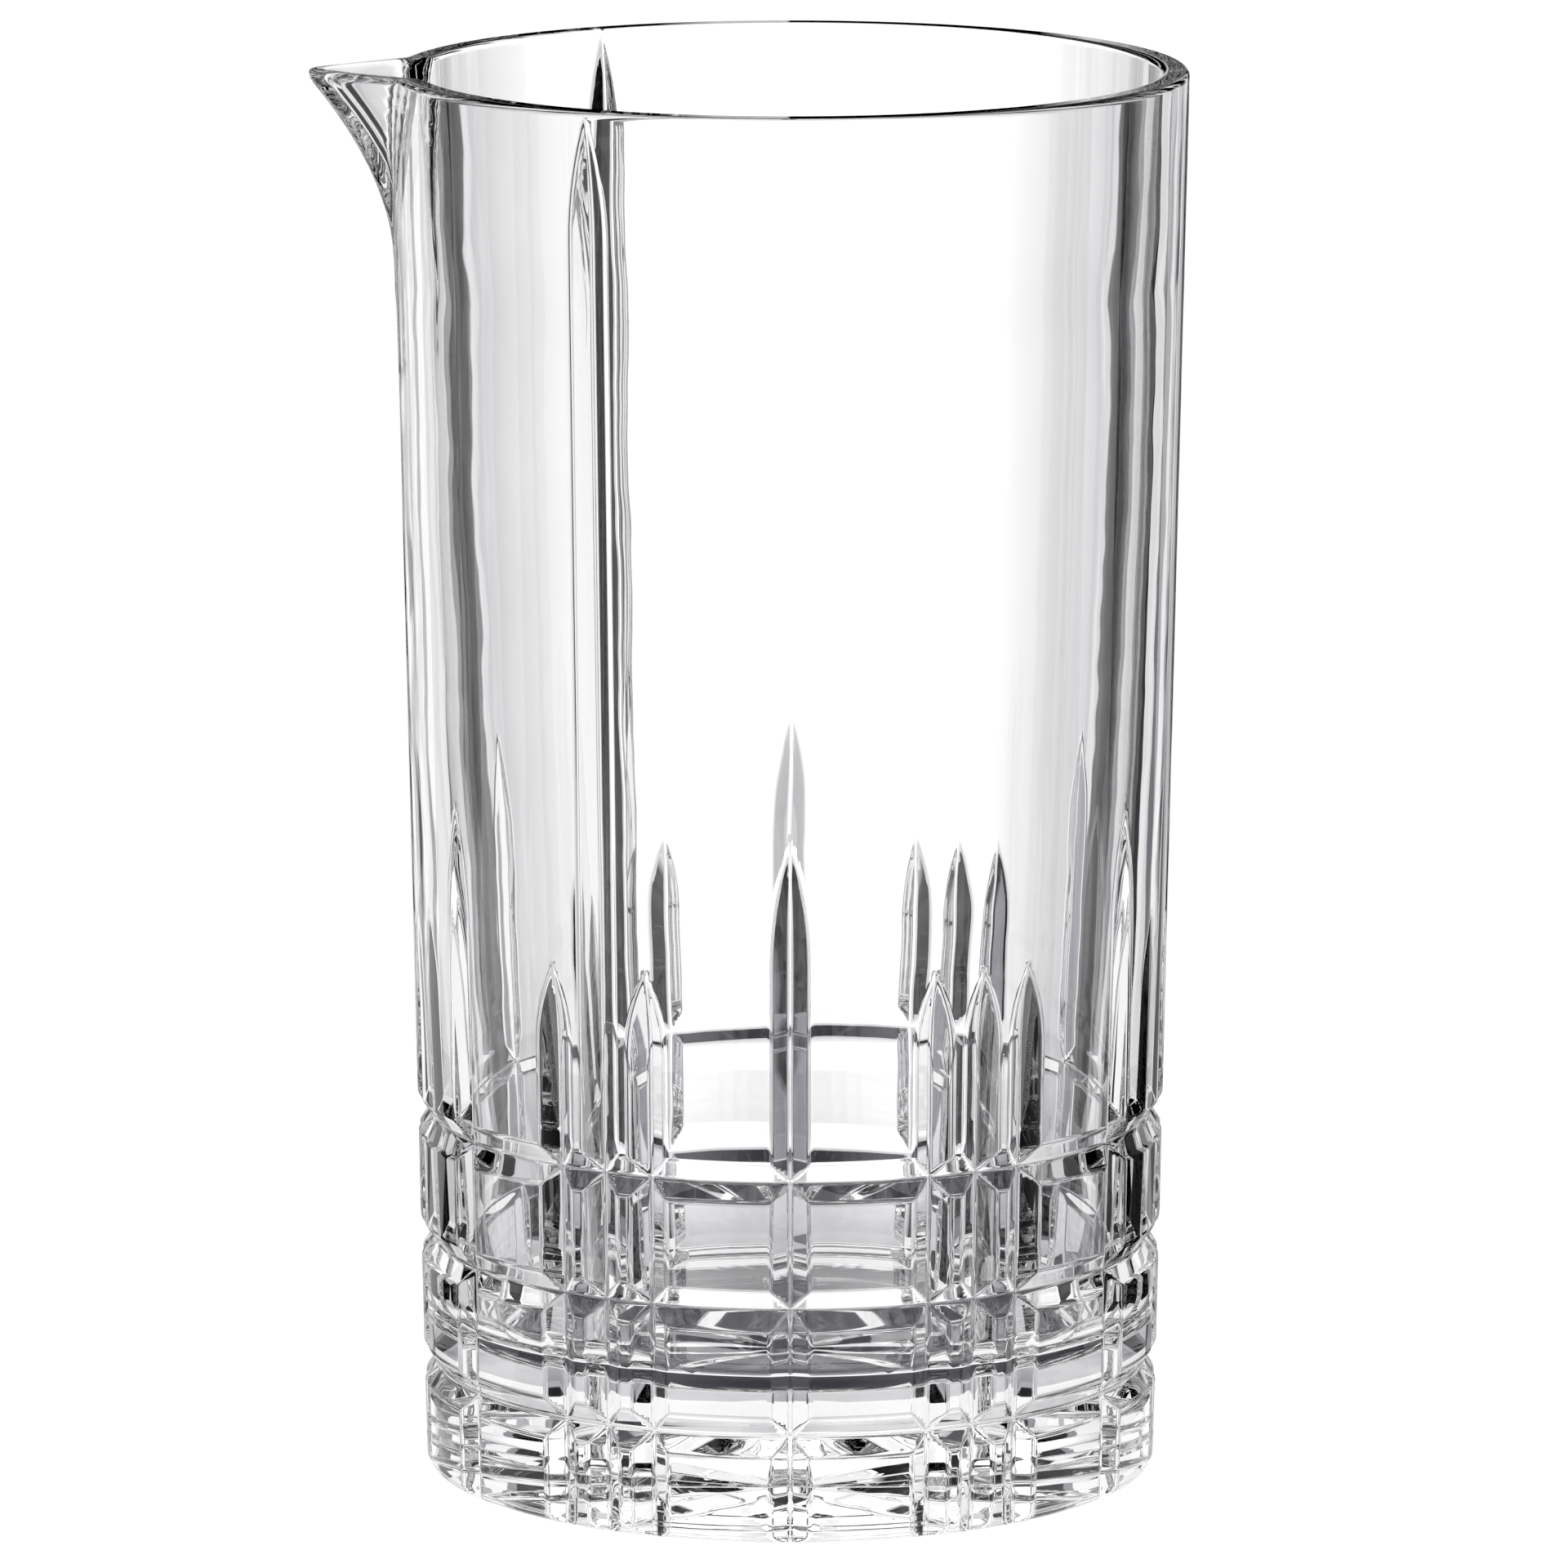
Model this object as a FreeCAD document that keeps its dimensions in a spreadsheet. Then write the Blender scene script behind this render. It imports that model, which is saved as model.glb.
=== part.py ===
"""Cut-glass mixing glass with a pinched pouring lip, as a parametric FreeCAD document.

The real object is one piece of clear glass.  It is held here as three solids that meet face to
face: the thick solid base, the walled vessel above it, and the lip that stands out from the rim.
The base and the vessel are divided at the bottom of the lowest ring cut.

Millimetres, +Z up, origin at the centre of the underside.  The lip points along -X.
"""

import FreeCAD, Part
import math
import os

import Sketcher
from FreeCAD import Placement, Rotation, Vector

SIZES = [
    ("overall_height", 178.0, "underside to rim"),
    ("rim_radius", 49.86, "outside radius at the rim"),
    ("base_radius", 46.25, "outside radius at the underside"),
    ("rim_wall", 3.55, "wall thickness at the rim"),
    ("rim_round", 0.9, "radius of both polished rim edges"),
    ("foot_round", 2.0, "radius of the edge under the foot"),
    ("floor_height", 17.5, "underside to the floor inside"),
    ("floor_wall", 6.5, "wall thickness at the floor, without its rounded corner"),
    ("floor_round", 6.0, "radius between the floor and the wall"),
    ("knee_height", 95.0, "height where the inside starts to close in towards the floor"),
    ("knee_wall", 4.2, "wall thickness at that height"),
    ("cut_depth", 1.6, "depth of every V cut"),
    ("cut_half_width", 2.3, "half the width of every V cut at the surface"),
    ("low_ring", 13.5, "height of the lowest ring cut"),
    ("ring_pitch", 16.13, "distance from one ring cut to the next"),
    ("short_tip", 71.2, "height where the short upright cuts end"),
    ("lone_tip", 88.0, "height where the lone upright cuts end"),
    ("long_tip", 176.8, "height where the long upright cuts end"),
    ("large_wheel", 70.0, "radius of the wheel that ends the lone and long cuts"),
    ("small_wheel", 31.0, "radius of the wheel that ends the short cuts"),
    ("triplet_angle", 8.0, "angle between neighbours in a group of three cuts"),
    ("lip_drop", 26.0, "rim to the lowest point of the lip"),
    ("lip_overhang", 11.6, "how far the lip's sharp ridge would stand out from the rim"),
    ("lip_reach", 60.1, "axis to the blunt nose of the lip"),
    ("lip_nose", 1.6, "width of the lip's ridge"),
    ("lip_wall", 3.6, "ridge to the bottom of the channel, measured level"),
    ("lip_slope", 0.87, "half width gained for each unit back from the ridge"),
]

NODES = ("heavy_base", "glass_wall", "pouring_lip")
RING_COUNT = 3
FOLD = 6                  # the pattern of upright cuts repeats every sixth of a turn
FOLD_ANGLE = 360 // FOLD
LIP_SECTIONS = 5
OVERCUT = 1.5             # how far a cutting profile stands clear of the surface
LIP_BURIED = 4.0          # how far the lip's sections start inside the wall
EDGE_TOLERANCE = 0.01


# ---- expressions and sketches ------------------------------------------------------------

def outer_radius(height):
    """Expression for the uncut outside radius at a height, itself an expression."""
    taper = "(Sizes.rim_radius - Sizes.base_radius) / Sizes.overall_height"
    return f"(Sizes.base_radius + {taper} * ({height}))"


def ring_height(index):
    """Expression for the height of a ring cut, counted from the lowest."""
    return f"(Sizes.low_ring + {index} * Sizes.ring_pitch)"


def v_half_width(depth):
    """Expression for the half width of a V cut's profile, this far out from its bottom."""
    return f"(Sizes.cut_half_width / Sizes.cut_depth * ({depth}))"


def origin_part(body, role):
    """The origin plane or axis of a body with this role, such as XY_Plane."""
    return next(part for part in body.Origin.OriginFeatures if part.Role == role)


def level_sketch(body, name, height):
    """A sketch in a level plane; its x and y are those of the part."""
    sketch = body.newObject("Sketcher::SketchObject", name)
    sketch.AttachmentSupport = [(origin_part(body, "XY_Plane"), "")]
    sketch.MapMode = "FlatFace"
    sketch.setExpression("AttachmentOffset.Base.z", height)
    return sketch


def upright_sketch(body, name, turn="0"):
    """A sketch in an upright plane through the axis; its x is the radius and its y the height."""
    sketch = body.newObject("Sketcher::SketchObject", name)
    sketch.AttachmentSupport = [(origin_part(body, "XZ_Plane"), "")]
    sketch.MapMode = "FlatFace"
    sketch.AttachmentOffset = Placement(Vector(), Rotation(Vector(0, 1, 0), 1.0))
    sketch.setExpression("AttachmentOffset.Rotation.Angle", turn)
    return sketch


def pin_point(sketch, geometry, end, point):
    """Hold one end of a line or an arc at a place given by two expressions."""
    for kind, expression in zip(("DistanceX", "DistanceY"), point):
        value = float(sketch.evalExpression(expression))
        index = sketch.addConstraint(Sketcher.Constraint(kind, -1, 1, geometry, end, value))
        sketch.setExpression(f"Constraints[{index}]", expression)


def add_polygon(sketch, corners):
    """Draw a closed polygon whose corners are pairs of expressions."""
    places = [Vector(*(float(sketch.evalExpression(value)) for value in corner), 0)
              for corner in corners]
    sides = [sketch.addGeometry(Part.LineSegment(start, stop))
             for start, stop in zip(places, places[1:] + places[:1])]
    for side, following in zip(sides, sides[1:] + sides[:1]):
        sketch.addConstraint(Sketcher.Constraint("Coincident", side, 2, following, 1))
    for side, corner in zip(sides, corners):
        pin_point(sketch, side, 1, corner)


def round_edges(body, name, base, radius, places):
    """Fillet the level circular edges of a feature at these (radius, height) places."""
    names = []
    for number, edge in enumerate(base.Shape.Edges, start=1):
        curve = edge.Curve
        if not isinstance(curve, Part.Circle):
            continue
        found = (curve.Radius, curve.Center.z)
        if any(math.dist(found, place) < EDGE_TOLERANCE for place in places):
            names.append(f"Edge{number}")
    fillet = body.newObject("PartDesign::Fillet", name)
    fillet.Base = (base, names)
    fillet.setExpression("Radius", radius)
    return fillet


# ---- the blank and its cuts --------------------------------------------------------------

def make_blank(doc, sheet):
    """Turn the uncut glass: a tapered cup with a thick floor."""
    body = doc.addObject("PartDesign::Body", "glass_blank")
    sketch = upright_sketch(body, "blank_profile")
    floor_radius = f"({outer_radius('Sizes.floor_height')} - Sizes.floor_wall)"
    knee_radius = f"({outer_radius('Sizes.knee_height')} - Sizes.knee_wall)"
    add_polygon(sketch, [
        ("0", "0"),
        ("Sizes.base_radius", "0"),
        ("Sizes.rim_radius", "Sizes.overall_height"),
        ("Sizes.rim_radius - Sizes.rim_wall", "Sizes.overall_height"),
        (knee_radius, "Sizes.knee_height"),
        (floor_radius, "Sizes.floor_height"),
        ("0", "Sizes.floor_height"),
    ])
    turned = body.newObject("PartDesign::Revolution", "turned_blank")
    turned.Profile = sketch
    turned.ReferenceAxis = (sketch, ["V_Axis"])
    doc.recompute()

    corner = float(sketch.evalExpression(floor_radius))
    turned = round_edges(body, "floor_corner", turned, "Sizes.floor_round",
                         [(corner, sheet.floor_height)])
    doc.recompute()
    turned = round_edges(body, "foot_edge", turned, "Sizes.foot_round",
                         [(sheet.base_radius, 0)])
    doc.recompute()
    turned = round_edges(body, "rim_edges", turned, "Sizes.rim_round",
                         [(sheet.rim_radius, sheet.overall_height),
                          (sheet.rim_radius - sheet.rim_wall, sheet.overall_height)])
    body.Tip = turned
    doc.recompute()
    return body


def cut_rings(body):
    """Cut the V rings that run round the lowest quarter."""
    sketch = upright_sketch(body, "ring_profile")
    for index in range(RING_COUNT):
        height = ring_height(index)
        bottom = f"{outer_radius(height)} - Sizes.cut_depth"
        mouth = f"{outer_radius(height)} + {OVERCUT}"
        half = v_half_width(f"Sizes.cut_depth + {OVERCUT}")
        add_polygon(sketch, [
            (bottom, height),
            (mouth, f"{height} - {half}"),
            (mouth, f"{height} + {half}"),
        ])
    groove = body.newObject("PartDesign::Groove", "ring_cuts")
    groove.Profile = sketch
    groove.ReferenceAxis = (sketch, ["V_Axis"])
    body.Tip = groove


def add_wheel_path(sketch, tip, wheel):
    """Draw the way a wheel goes: up beside the tapered side, then out on the wheel's arc."""
    foot_height = f"-{OVERCUT}"
    run = f"sqrt(2 * {wheel} * Sizes.cut_depth)"
    turn_height = f"({tip} - {run})"
    start = (f"{outer_radius(foot_height)} - Sizes.cut_depth", foot_height)
    turn = (f"{outer_radius(turn_height)} - Sizes.cut_depth", turn_height)
    exit_height = f"({turn_height} + sqrt(2 * {wheel} * (Sizes.cut_depth + {OVERCUT})))"

    start_point, turn_point = (
        Vector(*(float(sketch.evalExpression(value)) for value in point), 0)
        for point in (start, turn))
    radius = float(sketch.evalExpression(wheel))
    rise = float(sketch.evalExpression(exit_height)) - turn_point.y
    centre = turn_point + Vector(radius, 0, 0)
    exit_angle = math.pi - math.asin(rise / radius)
    line = sketch.addGeometry(Part.LineSegment(start_point, turn_point))
    arc = sketch.addGeometry(Part.ArcOfCircle(
        Part.Circle(centre, Vector(0, 0, 1), radius), exit_angle, math.pi))
    sketch.addConstraint(Sketcher.Constraint("Tangent", line, 2, arc, 2))
    pin_point(sketch, line, 1, start)
    pin_point(sketch, line, 2, turn)
    index = sketch.addConstraint(Sketcher.Constraint("Radius", arc, radius))
    sketch.setExpression(f"Constraints[{index}]", wheel)
    index = sketch.addConstraint(
        Sketcher.Constraint("DistanceY", -1, 1, arc, 1, turn_point.y + rise))
    sketch.setExpression(f"Constraints[{index}]", exit_height)


def cut_upright(doc, body, name, tip, wheel, turn, count):
    """Cut one V up from the foot, and repeat it round the axis."""
    path = upright_sketch(body, f"{name}_path", turn)
    add_wheel_path(path, tip, wheel)

    profile = level_sketch(body, f"{name}_profile", f"-{OVERCUT}")
    profile.setExpression("AttachmentOffset.Rotation.Angle", turn)
    side = outer_radius(f"-{OVERCUT}")
    mouth = f"{side} + {OVERCUT}"
    half = v_half_width(f"Sizes.cut_depth + {OVERCUT}")
    add_polygon(profile, [
        (f"{side} - Sizes.cut_depth", "0"),
        (mouth, f"-{half}"),
        (mouth, half),
    ])
    doc.recompute()

    cut = body.newObject("PartDesign::SubtractivePipe", name)
    cut.Profile = (profile, [""])
    cut.Spine = (path, [""])
    body.Tip = cut
    doc.recompute()

    ring = body.newObject("PartDesign::PolarPattern", f"{name}s")
    ring.Originals = [cut]
    ring.Axis = (origin_part(body, "Z_Axis"), [""])
    ring.Angle = 360
    ring.Occurrences = count
    body.Tip = ring
    doc.recompute()


def cut_uprights(doc, body):
    """Cut the six lone cuts and the six groups of three; every other group has a long one."""
    large, small = "Sizes.large_wheel", "Sizes.small_wheel"
    cut_upright(doc, body, "lone_cut", "Sizes.lone_tip", large, f"{FOLD_ANGLE / 2}", FOLD)
    cut_upright(doc, body, "left_cut", "Sizes.short_tip", small, "Sizes.triplet_angle", FOLD)
    cut_upright(doc, body, "right_cut", "Sizes.short_tip", small, "-Sizes.triplet_angle", FOLD)
    cut_upright(doc, body, "short_cut", "Sizes.short_tip", small, f"{FOLD_ANGLE}", FOLD // 2)
    cut_upright(doc, body, "long_cut", "Sizes.long_tip", large, "0", FOLD // 2)


# ---- the lip -----------------------------------------------------------------------------

def make_lip_wedge(doc, name, setback, above):
    """Loft a level V, point outwards, from the bottom of the lip to above the rim.

    The ridge leaves the wall upright and curves outwards.  setback moves it in towards the axis.
    """
    body = doc.addObject("PartDesign::Body", name)
    sections = []
    for index in range(LIP_SECTIONS + 1):
        share = f"({index} / {LIP_SECTIONS})"
        lift = above if index == LIP_SECTIONS else "0"
        height = f"(Sizes.overall_height - Sizes.lip_drop * (1 - {share}) + {lift})"
        side = outer_radius("Sizes.overall_height - Sizes.lip_drop")
        spread = f"(Sizes.lip_overhang + {outer_radius('Sizes.overall_height')} - {side})"
        ridge = f"({side} + {spread} * {share} ^ 2 - {setback})"
        root = f"({side} - {LIP_BURIED} - {setback})"
        nose = "(Sizes.lip_nose / 2)"
        half = f"({nose} + Sizes.lip_slope * ({ridge} - {root}))"
        sketch = level_sketch(body, f"{name}_{index}", height)
        add_polygon(sketch, [
            (f"-{ridge}", f"-{nose}"),
            (f"-{ridge}", nose),
            (f"-{root}", half),
            (f"-{root}", f"-{half}"),
        ])
        sections.append(sketch)
    doc.recompute()
    loft = body.newObject("PartDesign::AdditiveLoft", f"{name}_loft")
    loft.Profile = (sections[0], [""])
    loft.Sections = [(sketch, [""]) for sketch in sections[1:]]
    body.Tip = loft
    doc.recompute()
    return body


def make_cylinder(doc, name, radius, height):
    """A plain cylinder on the underside's plane, sized by two expressions."""
    cylinder = doc.addObject("Part::Cylinder", name)
    cylinder.setExpression("Radius", radius)
    cylinder.setExpression("Height", height)
    return cylinder


def combine(doc, kind, name, base, tool):
    """A Part::Cut or Part::Common of two objects."""
    result = doc.addObject(kind, name)
    result.Base = base
    result.Tool = tool
    return result


def make_side(doc):
    """The solid inside the uncut outer side of the glass, which the lip stands out from."""
    side = doc.addObject("Part::Cone", "outer_side")
    side.setExpression("Radius1", "Sizes.base_radius")
    side.setExpression("Radius2", "Sizes.rim_radius")
    side.setExpression("Height", "Sizes.overall_height")
    return side


# ---- the document ------------------------------------------------------------------------

def make_sheet(doc):
    """Put the driving dimensions into a spreadsheet, one named row each."""
    sheet = doc.addObject("Spreadsheet::Sheet", "Sizes")
    for row, (alias, value, note) in enumerate(SIZES, start=1):
        sheet.set(f"A{row}", alias)
        sheet.set(f"B{row}", str(value))
        sheet.set(f"C{row}", note)
        sheet.setAlias(f"B{row}", alias)
    doc.recompute()
    return sheet


def build(doc):
    """Make every object of the document and return the finished sub-parts."""
    sheet = make_sheet(doc)
    blank = make_blank(doc, sheet)
    cut_rings(blank)
    cut_uprights(doc, blank)

    lip_solid = make_lip_wedge(doc, "lip_solid", "0", "0")
    channel = make_lip_wedge(doc, "lip_channel", "Sizes.lip_wall", f"{OVERCUT}")

    foot_zone = make_cylinder(doc, "foot_zone", "Sizes.lip_reach", ring_height(0))
    combine(doc, "Part::Common", "heavy_base", blank, foot_zone)
    upper = combine(doc, "Part::Cut", "upper_glass", blank, foot_zone)
    combine(doc, "Part::Cut", "glass_wall", upper, channel)

    nose_zone = make_cylinder(doc, "nose_zone", "Sizes.lip_reach", "Sizes.overall_height")
    blunt = combine(doc, "Part::Common", "blunt_lip", lip_solid, nose_zone)
    hollow = combine(doc, "Part::Cut", "hollow_lip", blunt, channel)
    combine(doc, "Part::Cut", "pouring_lip", hollow, make_side(doc))
    doc.recompute()
    return [doc.getObject(node) for node in NODES]


def check(doc, parts):
    """Stop on a failed object or a bad solid."""
    for item in doc.Objects:
        if "Invalid" in item.State or "Error" in item.State:
            raise RuntimeError(f"{item.Label} failed: {item.State}")
    for part in parts:
        shape = part.Shape
        if shape.isNull() or not shape.isValid() or len(shape.Solids) != 1:
            raise RuntimeError(f"{part.Label} isn't one valid solid")


def write(parts):
    """Write one STEP file for each sub-part."""
    os.makedirs("parts", exist_ok=True)
    for part in parts:
        part.Shape.exportStep(f"parts/{part.Label}.step")
        box = part.Shape.BoundBox
        print(f"{part.Label}: {part.Shape.Volume / 1000:.1f} cm3, "
              f"x {box.XMin:.2f} {box.XMax:.2f}, y {box.YMin:.2f} {box.YMax:.2f}, "
              f"z {box.ZMin:.2f} {box.ZMax:.2f}")


document = FreeCAD.newDocument("mixing_glass")
finished = build(document)
check(document, finished)
write(finished)
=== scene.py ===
"""Cut-glass mixing glass, on a pale floor in soft studio light.

The CAD frame holds the glass as three zones that meet face to face.  The real glass is one piece,
so one seamless surface stands here for all three.  Its shape is a function of the angle round the
axis and of the place along a profile that runs from under the foot, up the outside, over the rim
and down the inside to the floor.

Lengths are millimetres until the mesh is made; angles are degrees.  Angle 0 is +X, and the lip is
at 180.
"""

import math

import bpy
import numpy as np
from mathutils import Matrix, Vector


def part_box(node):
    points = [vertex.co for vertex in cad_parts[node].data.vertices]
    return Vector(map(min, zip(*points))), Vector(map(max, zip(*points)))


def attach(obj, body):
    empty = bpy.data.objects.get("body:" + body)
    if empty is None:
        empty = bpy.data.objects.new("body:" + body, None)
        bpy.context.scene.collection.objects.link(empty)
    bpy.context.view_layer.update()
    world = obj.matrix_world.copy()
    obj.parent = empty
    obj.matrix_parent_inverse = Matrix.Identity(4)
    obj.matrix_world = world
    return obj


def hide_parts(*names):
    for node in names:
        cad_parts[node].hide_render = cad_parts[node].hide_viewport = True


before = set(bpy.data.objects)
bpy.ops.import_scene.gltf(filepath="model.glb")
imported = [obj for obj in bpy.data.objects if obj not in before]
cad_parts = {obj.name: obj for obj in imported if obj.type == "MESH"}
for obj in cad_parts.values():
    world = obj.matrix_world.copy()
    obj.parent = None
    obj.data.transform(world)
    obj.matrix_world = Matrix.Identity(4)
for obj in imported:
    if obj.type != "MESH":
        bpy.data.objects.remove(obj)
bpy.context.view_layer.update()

MM = 0.001

# ---- sizes that the frame gives ----------------------------------------------------------
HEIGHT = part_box("glass_wall")[1][2] / MM
LIP_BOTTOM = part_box("pouring_lip")[0][2] / MM
LOW_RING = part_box("heavy_base")[1][2] / MM

# ---- the uncut glass ---------------------------------------------------------------------
RIM_RADIUS = 49.86
BASE_RADIUS = 46.25
FOOT_ROUND = 1.4
RIM_ROUND = 0.9
RIM_WALL = 3.55
KNEE_HEIGHT = 95.0
KNEE_WALL = 4.2
KNEE_SOFTNESS = 30.0      # height over which the inside bends at the knee
FLOOR_HEIGHT = 17.5
FLOOR_WALL = 6.5
FLOOR_ROUND = 6.0

# ---- the cuts ----------------------------------------------------------------------------
CUT_DEPTH = 1.6
CUT_HALF_WIDTH = 2.3
CUT_SLOPE = CUT_DEPTH / CUT_HALF_WIDTH
CUT_BOTTOM_ROUND = 0.25   # half the width of the rounded bottom of a cut
CUT_LIP_ROUND = 0.25      # depth over which polishing has rounded a cut's lips
RIDGE_ROUND = 0.12        # the same, on the ridges where two cuts meet
RING_PITCH = 16.13
RING_HEIGHTS = [LOW_RING + RING_PITCH * index for index in range(3)]
FOLD_ANGLE = 60.0
TRIPLET_ANGLE = 8.0
SHORT_TIP, LONE_TIP, LONG_TIP = 71.2, 88.0, 176.8
SMALL_WHEEL, LARGE_WHEEL = 31.0, 70.0

# ---- the star cut under the foot ---------------------------------------------------------
STAR_RAYS = 12
STAR_HALF_WIDTH = 3.2
STAR_SLOPE = 0.36
STAR_LEAN = 0.8           # below 1 puts a ray's widest place nearer the axis
STAR_SOFTNESS = 0.3       # rounding of a ray's bottom and of its lips

# ---- the lip -----------------------------------------------------------------------------
LIP_ANGLE = 180.0
LIP_OVERHANG = 11.28
LIP_WALL = 3.6
LIP_SLOPE = 0.80          # half width gained for each unit back from the ridge
LIP_NOSE = 1.5            # sharpness of the ridge, seen from above
LIP_BLEND = 0.8           # how softly the lip runs into the wall
LIP_RIM_ROUND = 1.2       # extra rounding of the rim at the nose
LIP_RIM_SPREAD = 3.0      # angle over which that extra rounding dies away
RIM_WALL_SHARE = 0.48     # most of the wall that each of the rim's two edges may take

# ---- how finely the surface is drawn -----------------------------------------------------
CUT_STATIONS = (0.15, 0.45, 1.1, 1.7, 2.0, 2.3, 2.6, 2.95)
NARROWEST = 0.18          # share of a cut's width at which its columns stop closing in
LIP_CLEARANCE = 0.3       # how far the columns keep clear of the lips as they close in
REOPENING = 30.0          # height over which the columns spread again above a cut
REOPENING_START = 9.0     # height above a cut's tip at which they start to
LIP_ROOT_ANGLES = (11.7, 12.4, 13.1, 13.8, 15.0)
WIDE_STEP = 2.4
FINE_STEP = 1.3
TALL_STEP = 12.0
INSIDE_STEP = 6.0
UNDER_ROWS = 24
FOOT_ROWS = 7
RIM_ROWS = 5
CORNER_ROWS = 8
FLOOR_ROWS = 20
AXIS_GAP = 0.04           # share of the radius that is left to the caps at the axis
STEP_ANGLE = 0.02         # steps used for the slope of the surface
STEP_ALONG = 0.002

# ---- unevenness that pressing and polishing leave ----------------------------------------
UNDER_WAVE, UNDER_WAVE_RUN = 0.04, 1.6      # size of the ripple, and the run for one radian of it
UNDER_WAVE_FADE = 0.08
FLOOR_WAVE, FLOOR_WAVE_RUN, FLOOR_WAVE_RUN_ACROSS = 0.04, 2.3, 3.1
FLOOR_WAVE_FADE = 0.1
FLOOR_WAVE_TURN = 40.0
WALL_WAVE, WALL_WAVE_RUN = 0.07, 4.6
WALL_WAVE_FADE = 40.0
WALL_SWELL, WALL_SWELL_RUN = 0.3, 7.0       # thickening of the wall some way below the rim
WALL_SWELL_HEIGHT = 148.0
WALL_SWELL_TILT = 3.0


# ---- shape functions ---------------------------------------------------------------------

def soft_abs(value, softness):
    """Absolute value with its corner rounded over plus and minus the softness."""
    size = np.abs(value)
    return np.where(size < softness, size ** 2 / (2 * softness) + softness / 2, size)


def soft_max(one, other, softness):
    """The larger of two values, rounded where they are nearly equal."""
    gap = np.maximum(softness - np.abs(one - other), 0)
    return np.maximum(one, other) + gap ** 2 / (4 * softness)


def angle_from(angle, centre):
    """Signed angle from a centre, between -180 and 180."""
    return (angle - centre + 180.0) % 360.0 - 180.0


def side_radius(height):
    """Outside radius of the uncut glass."""
    return BASE_RADIUS + (RIM_RADIUS - BASE_RADIUS) * height / HEIGHT


def bowl_radius(height):
    """Inside radius of the wall, with its soft bend at the knee."""
    rim = RIM_RADIUS - RIM_WALL
    knee = side_radius(KNEE_HEIGHT) - KNEE_WALL
    floor = side_radius(FLOOR_HEIGHT) - FLOOR_WALL
    upper = (rim - knee) / (HEIGHT - KNEE_HEIGHT)
    lower = (knee - floor) / (KNEE_HEIGHT - FLOOR_HEIGHT)
    offset = height - KNEE_HEIGHT
    bend = (soft_abs(offset, KNEE_SOFTNESS) - offset) / 2
    return knee + upper * offset - (lower - upper) * bend


def upright_cuts():
    """Every upright cut as its angle, tip height and wheel radius."""
    cuts = []
    for group in range(6):
        middle = group * FOLD_ANGLE
        cuts.append((middle + FOLD_ANGLE / 2, LONE_TIP, LARGE_WHEEL))
        cuts.append((middle - TRIPLET_ANGLE, SHORT_TIP, SMALL_WHEEL))
        cuts.append((middle + TRIPLET_ANGLE, SHORT_TIP, SMALL_WHEEL))
        if group % 2 == 0:
            cuts.append((middle, LONG_TIP, LARGE_WHEEL))
        else:
            cuts.append((middle, SHORT_TIP, SMALL_WHEEL))
    return cuts


def cut_depth(angle, height):
    """Depth of the cuts below the uncut side; negative outside them."""
    side = side_radius(height)
    rounded = soft_abs(0.0, CUT_BOTTOM_ROUND)
    depth = np.full(np.broadcast(angle, height).shape, -np.inf)
    for middle, tip, wheel in upright_cuts():
        run = math.sqrt(2 * wheel * CUT_DEPTH)
        rise = np.clip(height - (tip - run), 0, wheel)
        bottom = CUT_DEPTH - (wheel - np.sqrt(wheel ** 2 - rise ** 2))
        away = np.clip(angle_from(angle, middle), -FOLD_ANGLE, FOLD_ANGLE)
        across = side * np.radians(away)
        flank = CUT_SLOPE * (soft_abs(across, CUT_BOTTOM_ROUND) - rounded)
        depth = np.maximum(depth, bottom - flank)
    rings = np.full(depth.shape, -np.inf)
    for middle in RING_HEIGHTS:
        flank = CUT_SLOPE * (soft_abs(height - middle, CUT_BOTTOM_ROUND) - rounded)
        rings = np.maximum(rings, CUT_DEPTH - flank)
    return soft_max(depth, rings, RIDGE_ROUND)


def lip_radius(angle, height, setback, bare):
    """A round wall of a bare radius, drawn out into the lip."""
    share = np.maximum((height - LIP_BOTTOM) / (HEIGHT - LIP_BOTTOM), -1.0)
    ridge = side_radius(height) + LIP_OVERHANG * share * np.abs(share) - setback
    turn = np.radians(np.clip(angle_from(angle, LIP_ANGLE), -FOLD_ANGLE, FOLD_ANGLE))
    spread = (np.sqrt((ridge * np.sin(turn)) ** 2 + LIP_NOSE ** 2) - LIP_NOSE) / LIP_SLOPE
    vee = ridge ** 2 / (ridge * np.cos(turn) + spread)
    return soft_max(bare, vee, LIP_BLEND)


def wall_wave(angle, height):
    """Unevenness of the wall's inside, fading out above the floor."""
    turn = np.radians(angle)
    above = height - WALL_SWELL_HEIGHT + WALL_SWELL_TILT * np.sin(turn)
    swell = WALL_SWELL * np.exp(-(above / WALL_SWELL_RUN) ** 2)
    wave = np.sin(height / WALL_WAVE_RUN + 1.5 * np.sin(2 * turn)) * (0.6 + 0.4 * np.sin(3 * turn))
    fade = np.clip((height - FLOOR_HEIGHT - FLOOR_ROUND) / WALL_WAVE_FADE, 0, 1) ** 2
    return (WALL_WAVE * wave - swell) * fade


def outer_radius(angle, height):
    """Outside radius with the lip and the cuts."""
    side = side_radius(height)
    drawn = lip_radius(angle, height, 0.0, side)
    return drawn - soft_max(cut_depth(angle, height), 0.0, CUT_LIP_ROUND)


def inner_radius(angle, height):
    """Inside radius with the lip's channel."""
    bare = bowl_radius(height) + wall_wave(angle, height)
    return lip_radius(angle, height, LIP_WALL, bare)


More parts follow.
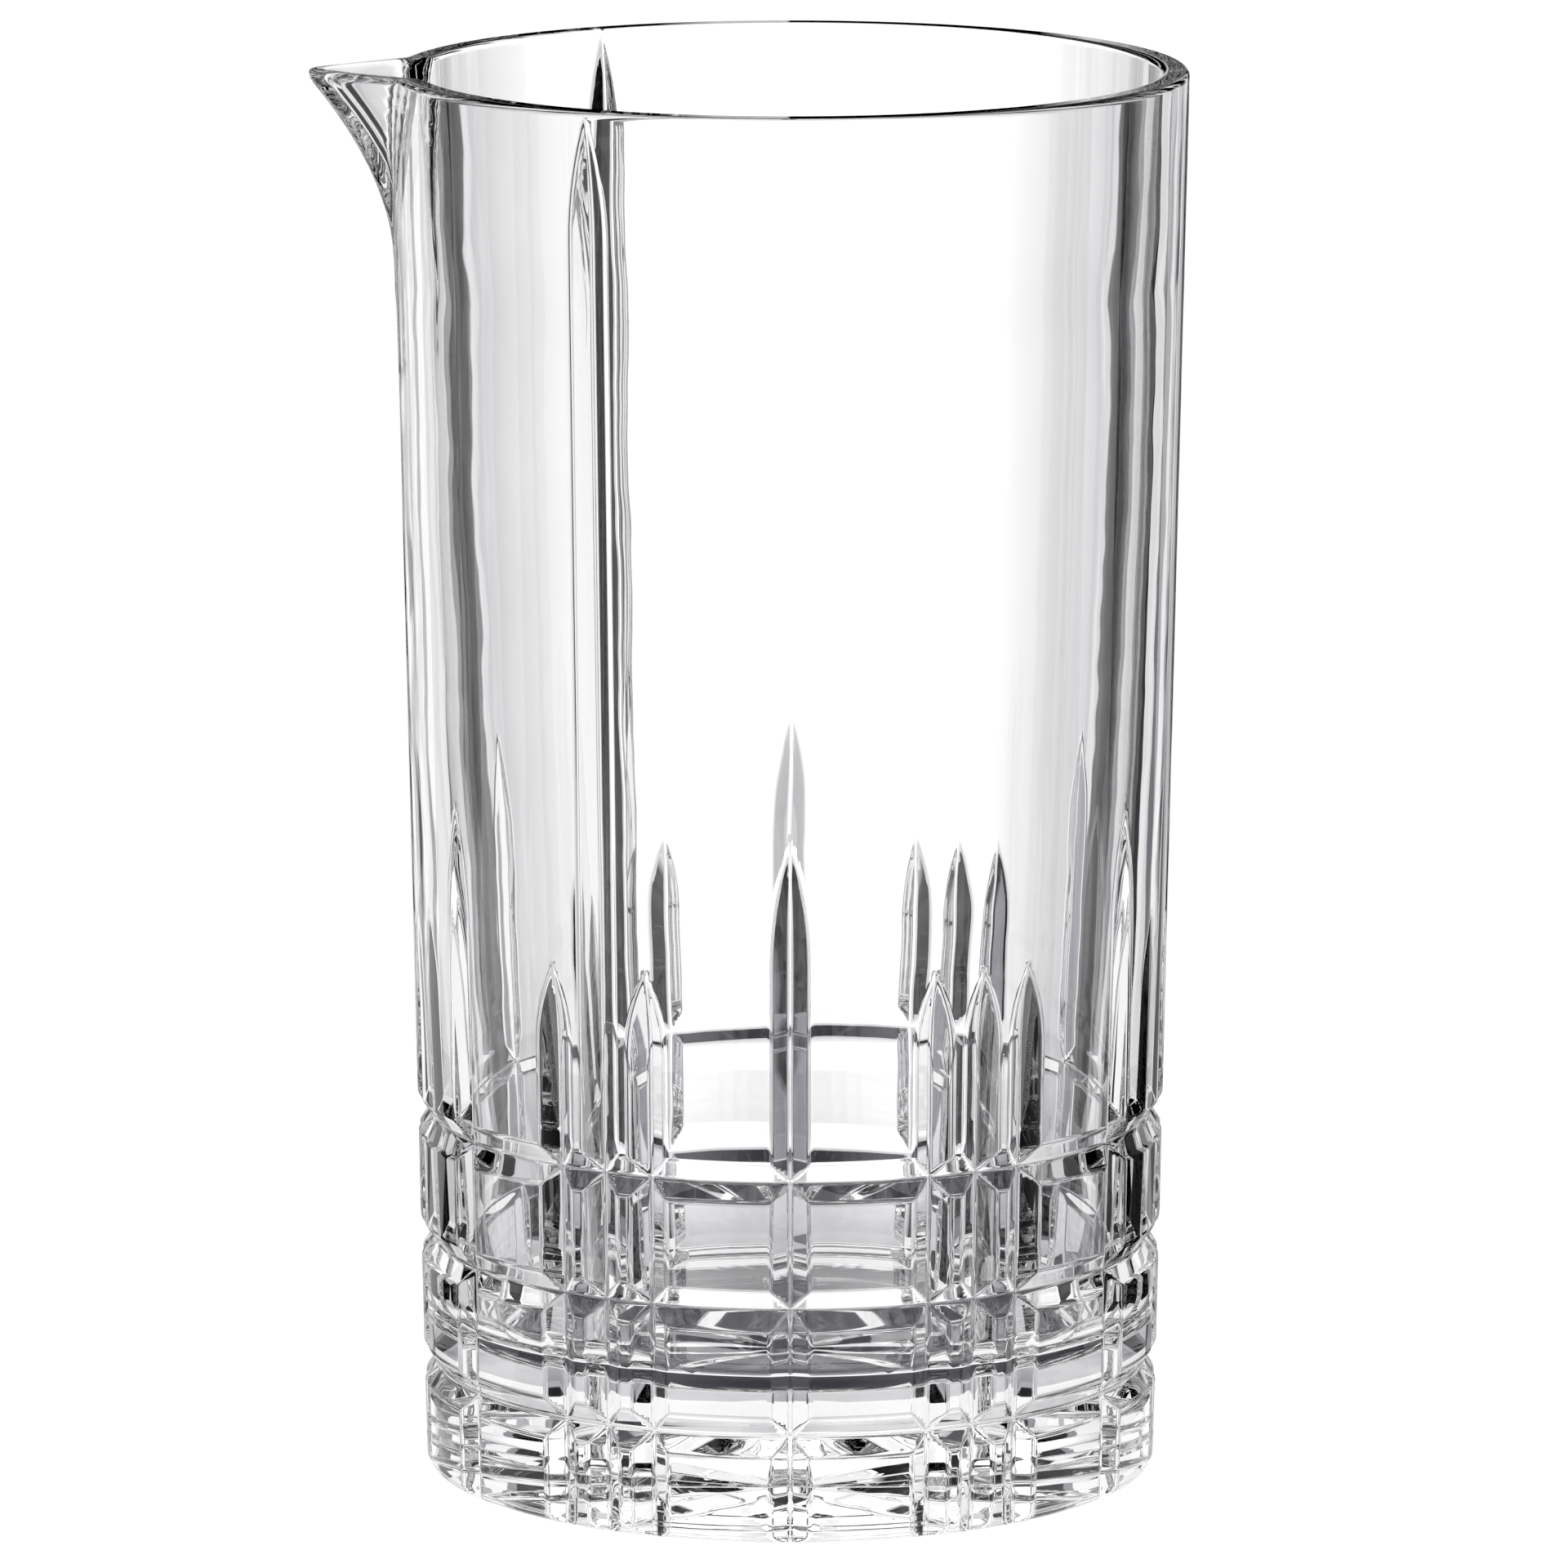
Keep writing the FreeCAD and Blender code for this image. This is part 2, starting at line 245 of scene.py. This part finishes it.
def rim_rounds(angle):
    """Radial size of the rim's rounding, which is larger where the wall runs slantwise."""
    turn = angle_from(angle, LIP_ANGLE)
    rounding = RIM_ROUND + LIP_RIM_ROUND * np.exp(-(turn / LIP_RIM_SPREAD) ** 2)
    ahead = outer_radius(angle + STEP_ANGLE, HEIGHT)
    behind = outer_radius(angle - STEP_ANGLE, HEIGHT)
    slant = (ahead - behind) / (2 * math.radians(STEP_ANGLE)) / outer_radius(angle, HEIGHT)
    wall = outer_radius(angle, HEIGHT) - inner_radius(angle, HEIGHT)
    return rounding, np.minimum(rounding * np.sqrt(1 + slant ** 2), RIM_WALL_SHARE * wall)


# ---- bands of the profile: each gives radius and height for an angle and a place along it -------

def foot_edge(angle, along):
    """From the flat underside out and up to the side; along is the angle round the edge."""
    turn = np.radians(along)
    height = FOOT_ROUND * (1 - np.cos(turn)) + 0 * angle
    edge = side_radius(0.0) - FOOT_ROUND * (1 - np.sin(turn))
    side = side_radius(height)
    depth = soft_max(cut_depth(angle, height), side - edge, CUT_LIP_ROUND)
    return side - depth, height


def outside(angle, along):
    """Up the side; along is the height."""
    height = along + 0 * angle
    return outer_radius(angle, height), height


def rim_outer_edge(angle, along):
    """From the side over the rim's outer edge; along is the angle round the edge."""
    turn = np.radians(along)
    rounding, radial = rim_rounds(angle)
    height = HEIGHT - rounding * (1 - np.sin(turn))
    return outer_radius(angle, height) - radial * (1 - np.cos(turn)), height


def rim_inner_edge(angle, along):
    """From the rim's top over its inner edge; along is the angle round the edge."""
    turn = np.radians(along)
    rounding, radial = rim_rounds(angle)
    height = HEIGHT - rounding * (1 - np.cos(turn))
    return inner_radius(angle, height) + radial * (1 - np.sin(turn)), height


def inside(angle, along):
    """Down the inside of the wall; along is the depth below the rim."""
    height = HEIGHT - along + 0 * angle
    return inner_radius(angle, height), height


def floor_corner(angle, along):
    """From the wall round to the floor; along is the angle turned."""
    turn = np.radians(along)
    height = FLOOR_HEIGHT + FLOOR_ROUND * (1 - np.sin(turn)) + 0 * angle
    return bowl_radius(height) - FLOOR_ROUND * (1 - np.cos(turn)), height


def under(angle, along):
    """The underside from near the axis out to the foot's edge; along is the radius's share."""
    edge = side_radius(0.0) - FOOT_ROUND - soft_max(
        cut_depth(angle, 0.0 * angle) - FOOT_ROUND, 0.0, CUT_LIP_ROUND)
    radius = edge * along
    fade = np.clip((1 - along) / UNDER_WAVE_FADE, 0, 1) ** 2
    away = np.radians(angle_from(angle * STAR_RAYS, 0.0) / STAR_RAYS)
    half = STAR_HALF_WIDTH * np.sin(np.pi * np.clip(along, 0, 1) ** STAR_LEAN)
    flank = half - soft_abs(radius * np.sin(away), STAR_SOFTNESS)
    star = soft_max(STAR_SLOPE * flank, 0.0, STAR_SOFTNESS)
    wave = UNDER_WAVE * (1 + np.sin(radius / UNDER_WAVE_RUN + np.sin(np.radians(3 * angle))))
    return radius, (star + wave) * fade


def floor(angle, along):
    """The floor inside from its corner to near the axis; along is the share still to go."""
    edge = bowl_radius(FLOOR_HEIGHT) - FLOOR_ROUND
    radius = edge * (1 - along) + 0 * angle
    fade = np.clip(along / FLOOR_WAVE_FADE, 0, 1) ** 2
    rings = np.sin(radius / FLOOR_WAVE_RUN + np.sin(np.radians(2 * angle + FLOOR_WAVE_TURN)))
    across = np.sin(radius * np.cos(np.radians(angle)) / FLOOR_WAVE_RUN_ACROSS)
    return radius, FLOOR_HEIGHT + FLOOR_WAVE * (rings + across) * fade


# ---- the grid ----------------------------------------------------------------------------

def filled(stations, step):
    """Sorted stations with even ones added wherever the gap is wider than the step."""
    stations = sorted(stations)
    result = []
    for start, stop in zip(stations, stations[1:]):
        count = max(1, math.ceil((stop - start) / step))
        result.extend(start + (stop - start) * index / count for index in range(count))
    return result + [stations[-1]]


def mirrored(stations):
    """The stations on both sides of a middle, and the middle."""
    return [-value for value in reversed(stations)] + [0.0] + list(stations)


def cut_share(height, tip, wheel):
    """How much of its full width a cut has left at a height."""
    run = math.sqrt(2 * wheel * CUT_DEPTH)
    rise = np.clip(height - (tip - run), 0, run)
    left = 1 - (wheel - np.sqrt(wheel ** 2 - rise ** 2)) / CUT_DEPTH
    closed = np.maximum(left, NARROWEST)
    return closed + (1 - closed) * np.clip((height - tip - REOPENING_START) / REOPENING, 0, 1)


def column_angles(heights):
    """Angles of the mesh's columns, one row for each height: they close in with the cuts."""
    heights = np.concatenate([[0.0], heights])
    radius = side_radius(RING_HEIGHTS[-1])
    known = []
    for middle, tip, wheel in upright_cuts():
        share = cut_share(heights, tip, wheel)
        for station in mirrored(CUT_STATIONS):
            clear = LIP_CLEARANCE * (station / CUT_HALF_WIDTH) ** 4 * np.sign(station)
            offset = station * share + clear * (1 - share)
            known.append(middle + np.degrees(offset / radius))
    for side in (-1, 1):
        known += [LIP_ANGLE + side * turn + 0 * heights for turn in LIP_ROOT_ANGLES]
    known.sort(key=lambda angles: angles[0])      # the first is at the underside
    known.append(known[0] + 360.0)
    step = math.degrees(WIDE_STEP / radius)
    columns = []
    for start, stop in zip(known, known[1:]):
        count = max(1, math.ceil((stop[0] - start[0]) / step))
        columns += [start + (stop - start) * index / count for index in range(count)]
    return np.stack(columns, axis=-1)[1:]


def outside_heights():
    """Heights of the rows up the side, close together where the shape changes."""
    rings = [middle + offset for middle in RING_HEIGHTS for offset in mirrored(CUT_STATIONS)]
    low = filled([FOOT_ROUND] + rings, WIDE_STEP)
    runs = filled([low[-1], SHORT_TIP - 12, SHORT_TIP + 1], FINE_STEP)
    lone = filled([SHORT_TIP + 1, LONE_TIP + 2], FINE_STEP * 1.2)
    plain = filled([LONE_TIP + 2, LIP_BOTTOM - 4], TALL_STEP)
    top = filled([LIP_BOTTOM - 4, HEIGHT - RIM_ROUND - LIP_RIM_ROUND - 0.3], FINE_STEP * 1.6)
    return np.array(low + runs[1:] + lone[1:] + plain[1:] + top[1:])


def inside_depths():
    """Depths below the rim of the rows down the inside."""
    start = RIM_ROUND + LIP_RIM_ROUND + 0.3
    lip = filled([start, HEIGHT - LIP_BOTTOM - 6], FINE_STEP * 2)
    wall = filled([lip[-1], HEIGHT - FLOOR_HEIGHT - FLOOR_ROUND], INSIDE_STEP)
    return np.array(lip + wall[1:-1])


def band_grid(band, heights, places):
    """Points and outward normals of a band: a height for the columns, and a place, for each row."""
    angle = column_angles(heights)
    along = np.broadcast_to(np.reshape(places, (-1, 1)), angle.shape)

    def points(angle, along):
        radius, height = band(angle, along)
        turn = np.radians(angle)
        return np.stack([radius * np.cos(turn), radius * np.sin(turn), height], axis=-1)

    across = points(angle + STEP_ANGLE, along) - points(angle - STEP_ANGLE, along)
    upwards = points(angle, along + STEP_ALONG) - points(angle, along - STEP_ALONG)
    normals = np.cross(across, upwards)
    normals /= np.linalg.norm(normals, axis=-1, keepdims=True)
    return points(angle, along), normals


def level(places, height):
    """One height for every place along a band."""
    return np.full(len(places), height)


def glass_rows():
    """All rows of the surface, from under the foot to the floor inside."""
    beneath = np.linspace(AXIS_GAP, 1, UNDER_ROWS)[:-1]
    foot = np.linspace(0, 90, FOOT_ROWS)
    side = outside_heights()[1:]
    quarter = np.linspace(0, 90, RIM_ROWS)
    wall = inside_depths()
    corner = np.linspace(0, 90, CORNER_ROWS)
    bottom = np.linspace(0, 1 - AXIS_GAP, FLOOR_ROWS)[1:]
    bands = [
        band_grid(under, level(beneath, 0.0), beneath),
        band_grid(foot_edge, level(foot, 0.0), foot),
        band_grid(outside, side, side),
        band_grid(rim_outer_edge, level(quarter, HEIGHT), quarter),
        band_grid(rim_inner_edge, level(quarter, HEIGHT), quarter),
        band_grid(inside, np.maximum(HEIGHT - 2 * wall, 0.0), wall),
        band_grid(floor_corner, level(corner, 0.0), corner),
        band_grid(floor, level(bottom, 0.0), bottom),
    ]
    points = np.concatenate([band[0] for band in bands])
    normals = np.concatenate([band[1] for band in bands])
    return points, normals


def make_glass():
    """The whole glass as one closed mesh with the true normals of its surface."""
    rows, row_normals = glass_rows()
    count, columns = rows.shape[:2]
    points = [tuple(point) for point in (rows.reshape(-1, 3) * MM)]
    normals = [tuple(normal) for normal in row_normals.reshape(-1, 3)]
    faces = []
    for row in range(count - 1):
        start, above = row * columns, (row + 1) * columns
        for column in range(columns):
            following = (column + 1) % columns
            faces.append((start + column, start + following, above + following, above + column))
    for row, up in ((0, -1.0), (count - 1, 1.0)):
        middle = len(points)
        points.append((0.0, 0.0, float(rows[row, :, 2].mean()) * MM))
        normals.append((0.0, 0.0, up))
        start = row * columns
        for column in range(columns):
            following = (column + 1) % columns
            pair = (start + column, start + following)
            faces.append((middle,) + (pair[::-1] if up < 0 else pair))
    mesh = bpy.data.meshes.new("mixing_glass")
    mesh.from_pydata(points, [], faces)
    mesh.shade_smooth()
    mesh.normals_split_custom_set_from_vertices(normals)
    glass = bpy.data.objects.new("mixing_glass", mesh)
    bpy.context.scene.collection.objects.link(glass)
    return glass


# ---- materials ---------------------------------------------------------------------------

def glass_material():
    """Clear polished glass: faintly rippled, with a trace of haze where the polish is thinner."""
    material = bpy.data.materials.new("clear_glass")
    material.use_nodes = True
    nodes, links = material.node_tree.nodes, material.node_tree.links
    shader = nodes["Principled BSDF"]
    shader.inputs["Base Color"].default_value = (0.98, 0.98, 0.985, 1.0)
    shader.inputs["Transmission Weight"].default_value = 1.0
    shader.inputs["IOR"].default_value = 1.52
    place = nodes.new("ShaderNodeTexCoord")
    ripple = nodes.new("ShaderNodeTexNoise")
    ripple.inputs["Scale"].default_value = 110.0
    ripple.inputs["Detail"].default_value = 1.0
    bump = nodes.new("ShaderNodeBump")
    bump.inputs["Strength"].default_value = 1.0
    bump.inputs["Distance"].default_value = 0.00002
    polish = nodes.new("ShaderNodeTexNoise")
    polish.inputs["Scale"].default_value = 45.0
    polish.inputs["Detail"].default_value = 1.0
    haze = nodes.new("ShaderNodeMapRange")
    haze.inputs["From Min"].default_value = 0.5
    haze.inputs["From Max"].default_value = 0.8
    haze.inputs["To Min"].default_value = 0.0
    haze.inputs["To Max"].default_value = 0.02
    links.new(place.outputs["Object"], ripple.inputs["Vector"])
    links.new(place.outputs["Object"], polish.inputs["Vector"])
    links.new(ripple.outputs["Fac"], bump.inputs["Height"])
    links.new(bump.outputs["Normal"], shader.inputs["Normal"])
    links.new(polish.outputs["Fac"], haze.inputs["Value"])
    links.new(haze.outputs["Result"], shader.inputs["Roughness"])
    return material


def plain_material(name, colour, roughness):
    """One dull colour, for the stage."""
    material = bpy.data.materials.new(name)
    material.use_nodes = True
    shader = material.node_tree.nodes["Principled BSDF"]
    shader.inputs["Base Color"].default_value = (*colour, 1.0)
    shader.inputs["Roughness"].default_value = roughness
    return material


# ---- studio ------------------------------------------------------------------------------

TENT_RADIUS = 200.0
TENT_HEIGHT = 320.0
TENT_WALL = 180.0         # height up to which the tent's panels stand
TENT_CLEAR = 65.0         # radius inside which the plain floor shows
TENT_EYE = 30.0           # radius of the opening in the tent's roof
# The tent's floor glows in its wall's tones, dimmer towards the glass: the panels' light and the
# dark panels' shade painted on a floor that only the glass sees.
LINER_NEAR, LINER_FAR = 0.55, 0.9      # tones of the tent's floor, as shares of its wall's
LINER_HEIGHT = 0.2
# A nearly black glowing disc under the foot, seen only through the glass: a painted shadow of the
# glass on the floor.
PAINTED_SHADOW_RADIUS = 44.0
PAINTED_SHADOW_HEIGHT = -0.02        # just above the floor, which lies a little below the foot
PANEL_EDGE = 0.3          # angle over which one panel gives way to the next
BRIGHT, WHITE, SOFT, PALE, GREY, PAINTED_SHADOW_TONE, DARK = 1.24, 1.0, 0.78, 0.6, 0.3, 0.05, 0.0
VIOLET_GREEN, VIOLET_BLUE = -0.05, 0.15     # how the greys lean towards violet

# Panels round the tent, each as the angle where it ends, its tone at its start and at its end.
# Angles run from straight behind the glass (+Y), first towards +X, then towards -X.
BACK_PANELS = [(10.0, BRIGHT, BRIGHT), (21.2, BRIGHT, PALE), (22.4, SOFT, SOFT), (28.0, DARK, DARK)]
FRONT_PANELS = [(118.0, DARK, DARK), (130.0, DARK, WHITE), (152.0, WHITE, WHITE),
                (168.0, WHITE, DARK), (180.0, DARK, DARK)]
RIGHT_PANELS = BACK_PANELS + [
    (30.0, GREY, GREY), (36.0, WHITE, WHITE), (42.0, GREY, GREY), (49.5, WHITE, WHITE),
    (80.0, DARK, DARK), (94.0, WHITE, WHITE)] + FRONT_PANELS
LEFT_PANELS = BACK_PANELS + [
    (30.0, GREY, GREY), (40.0, WHITE, WHITE), (43.0, GREY, GREY), (57.0, WHITE, WHITE),
    (76.5, DARK, DARK), (103.0, WHITE, WHITE)] + FRONT_PANELS
ROOF_PERIOD = 15.0        # angle from one roof panel to the next
ROOF_DARK = 0.8           # share of it that is dark
TENT_STEP = 3.0           # widest angle between the tent's columns


def side_stops(panels, side):
    """(angle, tone) stops of one side's panels."""
    stops, start = [], 0.0
    for end, first, last in panels:
        stops += [(side * (start + PANEL_EDGE / 2), first), (side * (end - PANEL_EDGE / 2), last)]
        start = end
    return stops


def tent_tones(angles):
    """Tones of the tent's wall at angles from straight behind."""
    stops = sorted(side_stops(RIGHT_PANELS, 1) + side_stops(LEFT_PANELS, -1))
    return np.interp(angles, [stop[0] for stop in stops], [stop[1] for stop in stops])


def tent_angles():
    """Angles of the tent's columns, with one at each edge of a panel."""
    angles = {angle for angle, tone in side_stops(RIGHT_PANELS, 1) + side_stops(LEFT_PANELS, -1)}
    for index in range(int(360 / ROOF_PERIOD)):
        start = index * ROOF_PERIOD - 180.0
        edge = start + ROOF_DARK * ROOF_PERIOD
        angles |= {start, start + PANEL_EDGE, edge, edge + PANEL_EDGE}
    return np.array(filled(sorted(angles), TENT_STEP))


def roof_tones(angles):
    """Tones of the tent above its panels: even stripes."""
    share = ((angles + 180.0) % ROOF_PERIOD) / ROOF_PERIOD
    return np.where(share < ROOF_DARK, DARK, WHITE)


FLOOR_SIZE = 30.0         # metres from the middle to a side
FLOOR_DROP = 0.05         # gap that keeps the floor and the foot from lying in one plane


def make_floor():
    """A wide pale floor."""
    mesh = bpy.data.meshes.new("floor")
    corners = [(x * FLOOR_SIZE, y * FLOOR_SIZE, 0)
               for x, y in ((-1, -1), (1, -1), (1, 1), (-1, 1))]
    mesh.from_pydata(corners, [], [(0, 1, 2, 3)])
    floor = bpy.data.objects.new("floor", mesh)
    bpy.context.scene.collection.objects.link(floor)
    mesh.materials.append(plain_material("floor_white", (0.92, 0.92, 0.92), 1.0))
    floor.location.z = -FLOOR_DROP * MM


def tent_material():
    """Plain light whose tone is kept with the tent's points."""
    material = bpy.data.materials.new("light_tent")
    material.use_nodes = True
    nodes, links = material.node_tree.nodes, material.node_tree.links
    nodes.clear()
    tone = nodes.new("ShaderNodeAttribute")
    tone.attribute_name = "tone"
    light = nodes.new("ShaderNodeEmission")
    out = nodes.new("ShaderNodeOutputMaterial")
    links.new(tone.outputs["Color"], light.inputs["Color"])
    links.new(light.outputs[0], out.inputs["Surface"])
    return material


def ring_mesh(name, angles, rings):
    """One band for each two rings, each ring given as radius, height and its tones."""
    count = len(angles)
    points, faces, colours = [], [], []
    for radius, height, tones in rings:
        for angle, tone in zip(np.radians(angles), tones):
            place = (radius * math.sin(angle), radius * math.cos(angle), height)
            points.append(tuple(length * MM for length in place))
            cool = min(tone, 1.0) * (1 - min(tone, 1.0)) ** 2
            colours += [tone, tone + VIOLET_GREEN * cool, tone + VIOLET_BLUE * cool, 1.0]
    for ring in range(0, len(rings) - 1, 2):
        for index in range(count):
            following = (index + 1) % count
            faces.append((ring * count + index, ring * count + following,
                          (ring + 1) * count + following, (ring + 1) * count + index))
    mesh = bpy.data.meshes.new(name)
    mesh.from_pydata(points, [], faces)
    mesh.attributes.new("tone", "FLOAT_COLOR", "POINT").data.foreach_set("color", colours)
    return mesh


def stage_light(name, mesh):
    """A glowing surface that only the glass sees, so it never stands in a view."""
    mesh.materials.append(tent_material())
    thing = bpy.data.objects.new(name, mesh)
    bpy.context.scene.collection.objects.link(thing)
    thing.visible_camera = False
    thing.visible_diffuse = False
    thing.visible_shadow = False


def make_tent():
    """A round tent of light panels about the glass, and under its foot a nearly black glowing disc,
    a painted shadow of the glass on the floor.
    """
    angles = tent_angles()
    wall, roof = tent_tones(angles), roof_tones(angles)
    lid = np.full(len(angles), DARK)
    stage_light("light_tent", ring_mesh("light_tent", angles, [
        (TENT_CLEAR, LINER_HEIGHT, LINER_NEAR * wall),
        (TENT_RADIUS, LINER_HEIGHT, LINER_FAR * wall),
        (TENT_RADIUS, LINER_HEIGHT, wall), (TENT_RADIUS, TENT_WALL, wall),
        (TENT_RADIUS, TENT_WALL, roof), (TENT_RADIUS, TENT_HEIGHT, roof),
        (TENT_RADIUS, TENT_HEIGHT, lid), (TENT_EYE, TENT_HEIGHT, lid)]))
    # Painted shadow: the disc glows nearly black under the foot, where the glass would shade the
    # floor.
    painted_shadow = np.full(len(angles), PAINTED_SHADOW_TONE)
    stage_light("painted_shadow", ring_mesh("painted_shadow", angles, [
        (0.01, PAINTED_SHADOW_HEIGHT, painted_shadow), (PAINTED_SHADOW_RADIUS, PAINTED_SHADOW_HEIGHT, painted_shadow)]))


def make_world():
    """Even white light from all round."""
    world = bpy.data.worlds.new("studio")
    world.use_nodes = True
    background = world.node_tree.nodes["Background"]
    background.inputs["Color"].default_value = (1.0, 1.0, 1.0, 1.0)
    background.inputs["Strength"].default_value = 1.12
    bpy.context.scene.world = world


CAMERA_DISTANCE = 1450.8  # level distance to the axis
CAMERA_HEIGHT = 359.5
CAMERA_PITCH = 10.635     # degrees below level
CAMERA_YAW = 0.031        # degrees off the axis
CAMERA_LENS = 268.6


def make_camera():
    """The camera, a little above the rim and looking slightly down."""
    camera = bpy.data.objects.new("camera", bpy.data.cameras.new("camera"))
    bpy.context.scene.collection.objects.link(camera)
    camera.location = (0.0, -CAMERA_DISTANCE * MM, CAMERA_HEIGHT * MM)
    camera.rotation_euler = (math.radians(90 - CAMERA_PITCH), 0, math.radians(CAMERA_YAW))
    camera.data.lens = CAMERA_LENS
    camera.data.sensor_width = 36.0
    camera.data.clip_end = 100.0
    bpy.context.scene.camera = camera


def set_rendering():
    """Plain white stays white, and light may cross the glass many times."""
    scene = bpy.context.scene
    scene.view_settings.view_transform = "Standard"
    scene.cycles.max_bounces = 28
    scene.cycles.transmission_bounces = 28
    scene.cycles.glossy_bounces = 16


glass = make_glass()
glass.data.materials.append(glass_material())
glass.visible_shadow = False
glass.visible_diffuse = False
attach(glass, "root")
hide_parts("heavy_base", "glass_wall", "pouring_lip")

make_floor()
make_tent()
make_world()
make_camera()
set_rendering()
